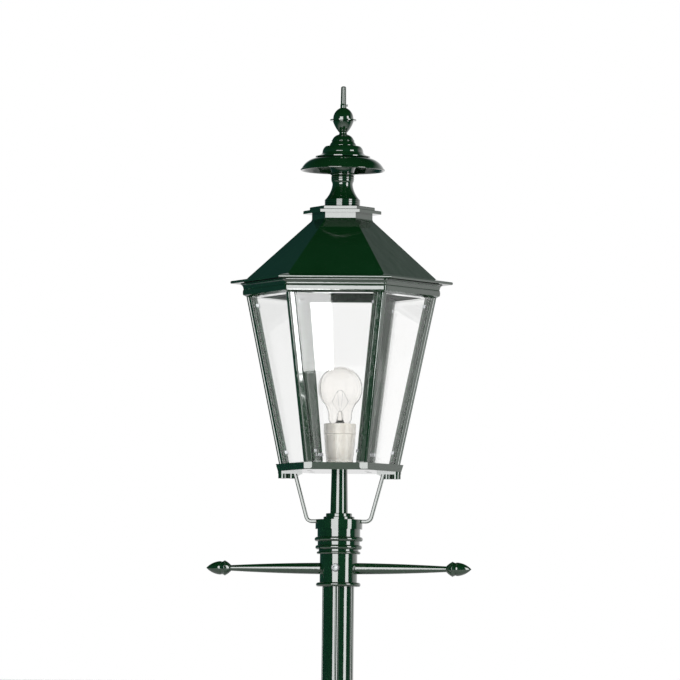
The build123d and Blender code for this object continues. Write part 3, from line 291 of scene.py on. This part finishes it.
def green_paint(name):
    """Thick gloss paint on cast metal: soft ripples, faint orange peel, a little paler in
    places."""
    material, tree, shader = new_material(name)
    vector = place(tree)
    patches = noise(tree, vector, PAINT_PATCH_SCALE, detail=4.0)
    tone = blend(tree, patches, PAINT_PATCH_RANGE, PAINT_DEEP, PAINT_PALE)
    tree.links.new(tone, shader.inputs["Base Color"])
    grain = noise(tree, vector, PAINT_GRAIN_SCALE, detail=2.0)
    rough = spread(tree, grain, NOISE_MIDDLE, PAINT_ROUGH)
    tree.links.new(rough, shader.inputs["Roughness"])
    ripples = noise(tree, vector, PAINT_RIPPLE_SCALE, detail=2.0)
    peel = noise(tree, vector, PAINT_PEEL_SCALE, detail=1.0)
    normal = bump(tree, (ripples, PAINT_RIPPLE), (peel, PAINT_PEEL))
    tree.links.new(normal, shader.inputs["Normal"])
    tree.links.new(normal, shader.inputs["Coat Normal"])
    shader.inputs["Specular IOR Level"].default_value = PAINT_SPECULAR
    set_sockets(shader, PAINT_COAT)
    return material


def metal(name, deep, pale, rough):
    """Bare metal with a fine grain."""
    material, tree, shader = new_material(name)
    vector = place(tree)
    grain = noise(tree, vector, METAL_GRAIN_SCALE)
    patches = noise(tree, vector, METAL_PATCH_SCALE)
    tone = blend(tree, patches, NOISE_MIDDLE, deep, pale)
    tree.links.new(tone, shader.inputs["Base Color"])
    tree.links.new(spread(tree, grain, NOISE_MIDDLE, rough), shader.inputs["Roughness"])
    tree.links.new(bump(tree, (grain, METAL_GRAIN)), shader.inputs["Normal"])
    shader.inputs["Metallic"].default_value = 1.0
    return material


def clear_glass(name, tint, ior, wave, wave_scale):
    """Clear glass that lets the studio's light through to what stands behind it."""
    material, tree, shader = new_material(name)
    shader.inputs["Transmission Weight"].default_value = 1.0
    shader.inputs["IOR"].default_value = ior
    vector = place(tree)
    haze = noise(tree, vector, GLASS_HAZE_SCALE)
    rough = spread(tree, haze, GLASS_HAZE_RANGE, GLASS_ROUGH)
    tree.links.new(rough, shader.inputs["Roughness"])
    half_tint = [0.5 + 0.5 * channel for channel in tint]
    tone = blend(tree, haze, NOISE_MIDDLE, tint, half_tint)
    tree.links.new(tone, shader.inputs["Base Color"])
    waves = noise(tree, vector, wave_scale, detail=1.0)
    normal = bump(tree, (waves, (wave, GLASS_WAVE_STRENGTH)))
    tree.links.new(normal, shader.inputs["Normal"])
    path = add(tree, "ShaderNodeLightPath")
    clear = add(tree, "ShaderNodeBsdfTransparent", Color=(*GLASS_SHADOW, 1.0))
    mix_surfaces(tree, path.outputs["Is Shadow Ray"], shader, clear)
    return material


def porcelain(name):
    """Glazed porcelain: warm off-white, a little cloudy, with a thin clear glaze."""
    material, tree, shader = new_material(name)
    vector = place(tree)
    clouds = noise(tree, vector, PORCELAIN_CLOUD_SCALE, detail=4.0)
    tone = blend(tree, clouds, PORCELAIN_CLOUD_RANGE, PORCELAIN_DEEP, PORCELAIN_PALE)
    tree.links.new(tone, shader.inputs["Base Color"])
    rough = spread(tree, clouds, NOISE_MIDDLE, PORCELAIN_ROUGH)
    tree.links.new(rough, shader.inputs["Roughness"])
    glaze = noise(tree, vector, PORCELAIN_GLAZE_SCALE, detail=2.0)
    tree.links.new(bump(tree, (glaze, PORCELAIN_GLAZE)), shader.inputs["Normal"])
    set_sockets(shader, PORCELAIN_COAT)
    set_sockets(shader, PORCELAIN_DEPTH)
    return material


def dull(name, deep, pale, rough):
    """Rubber or a moulded insulator with a fine matt grain."""
    material, tree, shader = new_material(name)
    vector = place(tree)
    grain = noise(tree, vector, DULL_GRAIN_SCALE)
    patches = noise(tree, vector, DULL_PATCH_SCALE)
    tone = blend(tree, patches, NOISE_MIDDLE, deep, pale)
    tree.links.new(tone, shader.inputs["Base Color"])
    tree.links.new(spread(tree, grain, NOISE_MIDDLE, rough), shader.inputs["Roughness"])
    tree.links.new(bump(tree, (grain, DULL_GRAIN)), shader.inputs["Normal"])
    return material


MATERIALS = {"green_paint": green_paint("green_paint"), "porcelain": porcelain("porcelain")}
for make, looks in ((metal, METALS), (dull, DULLS), (clear_glass, GLASSES)):
    for name, look in looks.items():
        MATERIALS[name] = make(name, *look)


def dress_nodes():
    """Gives every CAD node the material of its slot in the record."""
    for entry in frame["record"]["subparts"]:
        slots = nodes[entry["node"]].data.materials
        slots.clear()
        slots.append(MATERIALS[entry["material_slot"]])


# Fine pieces of the lamp

def mesh_piece(name, vertices, faces, slot, body, *replaced):
    mesh = bpy.data.meshes.new(name)
    mesh.from_pydata(vertices, [], faces)
    mesh.shade_smooth()
    piece = bpy.data.objects.new(name, mesh)
    bpy.context.scene.collection.objects.link(piece)
    mesh.materials.append(MATERIALS[slot])
    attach(piece, body)
    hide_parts(*replaced)
    return piece


def turns(steps):
    """Angles of equal steps round a full turn."""
    return [2 * pi * step / steps for step in range(steps)]


def circle(radius, z, steps):
    """Points of a level circle around the axis."""
    return [(radius * cos(turn), radius * sin(turn), z) for turn in turns(steps)]


def grid_faces(rows, columns):
    """Faces between rows of points that each close to a ring."""
    faces = []
    for row in range(rows - 1):
        low, high = row * columns, (row + 1) * columns
        for column in range(columns):
            nxt = (column + 1) % columns
            faces.append((low + column, low + nxt, high + nxt, high + column))
    return faces


def tube_along(path, radius, sides):
    """Vertices and faces of a thin round tube along a path, closed at both ends."""
    vertices = []
    side = TUBE_GUIDE
    for step, point in enumerate(path):
        ahead = path[min(step + 1, len(path) - 1)] - path[max(step - 1, 0)]
        along = ahead.normalized()
        side = (side - along * side.dot(along)).normalized()
        other = along.cross(side)
        for turn in turns(sides):
            vertices.append(tuple(point + (side * cos(turn) + other * sin(turn)) * radius))
    last = (len(path) - 1) * sides
    ends = [tuple(reversed(range(sides))), tuple(range(last, last + sides))]
    return vertices, grid_faces(len(path), sides) + ends


def join_tubes(tubes):
    vertices, faces = [], []
    for some, more in tubes:
        start = len(vertices)
        vertices += some
        faces += [tuple(start + corner for corner in face) for face in more]
    return vertices, faces


def smooth_path(points, steps):
    """Catmull-Rom curve through the points."""
    path = []
    ends = [points[0] * 2 - points[1], *points, points[-1] * 2 - points[-2]]
    for a, b, c, d in zip(ends, ends[1:], ends[2:], ends[3:]):
        for step in range(steps):
            t = step / steps
            path.append(0.5 * (2 * b + (c - a) * t + (2 * a - 5 * b + 4 * c - d) * t ** 2
                               + (3 * b - a - 3 * c + d) * t ** 3))
    return path + [points[-1]]


def filament_run():
    return [Vector((x, y, RIM_Z + z)) * MM for x, y, z in FILAMENT_POINTS]


def make_filament():
    """Coil wound on the line from hook to hook."""
    line = smooth_path(filament_run(), FILAMENT_STEPS)
    lengths = [(end - start).length for start, end in zip(line, line[1:])]
    total = sum(lengths)
    count = int(total / COIL_PITCH) * COIL_STEPS
    side = Vector((0.0, 1.0, 0.0))
    path = []
    travelled, leg = 0.0, 0
    for step in range(count + 1):
        reach = total * step / count
        while leg < len(lengths) - 1 and travelled + lengths[leg] < reach:
            travelled += lengths[leg]
            leg += 1
        along = (line[leg + 1] - line[leg]).normalized()
        other = along.cross(side)
        turn = 2 * pi * step / COIL_STEPS
        spot = line[leg] + along * (reach - travelled)
        path.append(spot + (side * cos(turn) + other * sin(turn)) * COIL_R)
    coil = tube_along(path, COIL_WIRE_R, COIL_SIDES)
    mesh_piece("filament_coil", *coil, "tungsten", "bulb", "filament")


def make_lamp_wires():
    """Fine supports that fan from the glass stem to the filament's hooks, and two kinked leads."""
    tubes = []
    root = Vector((0.0, 0.0, RIM_Z + MOUNT_TOP - SUPPORT_SINK)) * MM
    for spot in filament_run():
        start = root + Vector((SUPPORT_ROOT * spot.x, 0.0, 0.0))
        bend = Vector((SUPPORT_BEND_OUT * spot.x, 0.0, SUPPORT_BEND_UP))
        wire = smooth_path([start, start.lerp(spot, SUPPORT_BEND) + bend, spot], SUPPORT_STEPS)
        tubes.append(tube_along(wire, SUPPORT_R, SUPPORT_SIDES))
        hook = [
            spot + Vector((HOOK_R * sin(turn), HOOK_R * cos(turn), 0.0))
            for turn in turns(HOOK_STEPS)[:-1]
        ]
        tubes.append(tube_along(hook, HOOK_WIRE_R, HOOK_SIDES))
    for sign in (-1, 1):
        run = [Vector((sign * x, y, RIM_Z + z)) * MM for x, y, z in LEAD_POINTS]
        tubes.append(tube_along(smooth_path(run, LEAD_STEPS), LEAD_R, LEAD_SIDES))
    mesh_piece("lamp_wires", *join_tubes(tubes), "tungsten", "bulb", "filament_wires")


def thread_row(z, fade):
    """Points round the thread at one height; the fade flattens it towards its ends."""
    row = []
    for turn in turns(THREAD_STEPS):
        wave = 0.5 - 0.5 * cos(2 * pi * (z * MM / THREAD_PITCH) - turn)
        radius = CAP_R * MM - THREAD_DEPTH * (0.5 + (wave - 0.5) * fade)
        row.append((radius * cos(turn), radius * sin(turn), z * MM))
    return row


def make_bulb_thread():
    """Rolled screw thread of the bulb's cap, a thin shell like the plain one it replaces."""
    low, high = RIM_Z - CAP_HEIGHT, RIM_Z - CAP_SKIRT
    rows = []
    for row in range(THREAD_ROWS + 1):
        z = low + (high - low) * row / THREAD_ROWS
        rows.append(thread_row(z, min(1.0, (z - low) / THREAD_FADE, (high - z) / THREAD_FADE)))
    profile = (
        (CAP_SKIRT_R - CAP_SKIRT_EDGE, high + CAP_SKIRT_EDGE),
        (CAP_SKIRT_R, high + CAP_SKIRT_FOOT),
        (CAP_SKIRT_R - CAP_SKIRT_TAPER, RIM_Z - CAP_SKIRT_EDGE),
        (CAP_FOOT_R, RIM_Z), (CAP_FOOT_R, RIM_Z - CAP_GLASS_SEAT),
        (CAP_INNER_R, RIM_Z - CAP_GLASS_SEAT), (CAP_INNER_R, low + CAP_METAL),
        (CAP_BASE_R, low + CAP_METAL), (CAP_BASE_R, low),
    )
    rows += [circle(radius * MM, z * MM, THREAD_STEPS) for radius, z in profile]
    faces = grid_faces(len(rows), THREAD_STEPS)
    last = (len(rows) - 1) * THREAD_STEPS
    for step in range(THREAD_STEPS):
        nxt = (step + 1) % THREAD_STEPS
        faces.append((last + step, last + nxt, nxt, step))
    vertices = [spot for row in rows for spot in row]
    piece = mesh_piece("bulb_thread", vertices, faces, "cap_metal", "bulb", "bulb_cap")
    piece.data.set_sharp_from_angle(angle=CAP_SHARP)


# Studio and camera

def make_floor():
    """Pale floor under the post that fades into the white background."""
    mesh = bpy.data.meshes.new("floor")
    mesh.from_pydata(circle(FLOOR_R, 0.0, FLOOR_STEPS), [], [tuple(range(FLOOR_STEPS))])
    floor = bpy.data.objects.new("floor", mesh)
    floor.location.z = -FLOOR_DROP
    bpy.context.scene.collection.objects.link(floor)
    material, tree, shader = new_material("floor")
    shader.inputs["Base Color"].default_value = (*FLOOR_COLOUR, 1.0)
    shader.inputs["Roughness"].default_value = FLOOR_ROUGH
    length = add(tree, "ShaderNodeVectorMath", operation="LENGTH")
    tree.links.new(place(tree), length.inputs[0])
    fade = spread(tree, length.outputs["Value"], FLOOR_FADE)
    mix_surfaces(tree, fade, shader, add(tree, "ShaderNodeBsdfTransparent"))
    mesh.materials.append(material)


def soft_box(name, azimuth, rise, distance, width, height, radiance, mirrored=True):
    """Area lamp that faces AIM and that neither the camera nor glass shows. What isn't mirrored
    lights the object but makes no reflection on it."""
    lamp = bpy.data.lights.new(name, "AREA")
    lamp.shape = "RECTANGLE"
    lamp.size = width
    lamp.size_y = height
    lamp.energy = radiance * pi * width * height
    box = bpy.data.objects.new(name, lamp)
    bpy.context.scene.collection.objects.link(box)
    a, e = radians(azimuth), radians(rise)
    out = Vector((sin(a) * cos(e), -cos(a) * cos(e), sin(e)))
    box.location = AIM + out * distance
    box.rotation_mode = "QUATERNION"
    box.rotation_quaternion = out.to_track_quat("Z", "Y")
    box.visible_camera = False
    box.visible_transmission = False
    box.visible_glossy = mirrored


def make_world():
    """White background, seen also through glass. What gloss mirrors is bright behind the object
    to the right, and falls off to a dim blue-green studio on the left, in front and overhead."""
    world = bpy.data.worlds.new("studio")
    bpy.context.scene.world = world
    world.use_nodes = True
    tree = world.node_tree
    background = tree.nodes["Background"]
    coords = add(tree, "ShaderNodeTexCoord")
    split = add(tree, "ShaderNodeSeparateXYZ")
    tree.links.new(coords.outputs["Generated"], split.inputs["Vector"])
    facing = add(tree, "ShaderNodeVectorMath", operation="DOT_PRODUCT")
    tree.links.new(coords.outputs["Generated"], facing.inputs[0])
    facing.inputs[1].default_value = (sin(BACKDROP_AZIMUTH), -cos(BACKDROP_AZIMUTH), 0.0)
    across = spread(tree, facing.outputs["Value"], BACKDROP_EDGE)
    upward = spread(tree, split.outputs["Z"], BACKDROP_TOP, (1.0, 0.0))
    lit = math_node(tree, "MULTIPLY", across, upward)
    path = add(tree, "ShaderNodeLightPath")
    straight = math_node(
        tree, "MAXIMUM", path.outputs["Is Camera Ray"], path.outputs["Is Transmission Ray"]
    )
    undiffused = spread(tree, path.outputs["Diffuse Depth"], (0.0, 1.0), (1.0, 0.0))
    seen = math_node(tree, "MULTIPLY", straight, undiffused)
    overhead = spread(tree, split.outputs["Z"], CEILING_EDGE)
    colour = blend(tree, overhead, (0.0, 1.0), STUDIO_DIM, CEILING_DIM)
    for factor, bright in ((lit, BACKDROP_GLOW), (seen, WHITE)):
        mix = add(tree, "ShaderNodeMix", data_type="RGBA")
        tree.links.new(factor, mix.inputs["Factor"])
        tree.links.new(colour, mix.inputs["A"])
        mix.inputs["B"].default_value = (*bright, 1.0)
        colour = mix.outputs["Result"]
    tree.links.new(colour, background.inputs["Color"])


def make_camera():
    right = Vector((cos(CAMERA_AZIMUTH), sin(CAMERA_AZIMUTH), 0.0))
    level = Vector((-sin(CAMERA_AZIMUTH), cos(CAMERA_AZIMUTH), 0.0))
    look = level * cos(CAMERA_RISE) + Vector((0.0, 0.0, sin(CAMERA_RISE)))
    up = right.cross(look)
    rolled_right = right * cos(CAMERA_ROLL) + up * sin(CAMERA_ROLL)
    rolled_up = up * cos(CAMERA_ROLL) - right * sin(CAMERA_ROLL)
    data = bpy.data.cameras.new("camera")
    data.lens = CAMERA_LENS
    data.sensor_width = SENSOR
    data.clip_end = CAMERA_REACH
    camera = bpy.data.objects.new("camera", data)
    bpy.context.scene.collection.objects.link(camera)
    spot = Vector((0.0, 0.0, AIM_HEIGHT)) + right * AIM_SIDE - look * CAMERA_DISTANCE
    axes = Matrix((rolled_right, rolled_up, -look)).transposed()
    camera.matrix_world = Matrix.Translation(spot) @ axes.to_4x4()
    bpy.context.scene.camera = camera


dress_nodes()
make_filament()
make_lamp_wires()
make_bulb_thread()
make_floor()
make_world()
for name, settings in SOFT_BOXES.items():
    soft_box(name, **settings)
make_camera()
bpy.context.scene.view_settings.view_transform = "Standard"
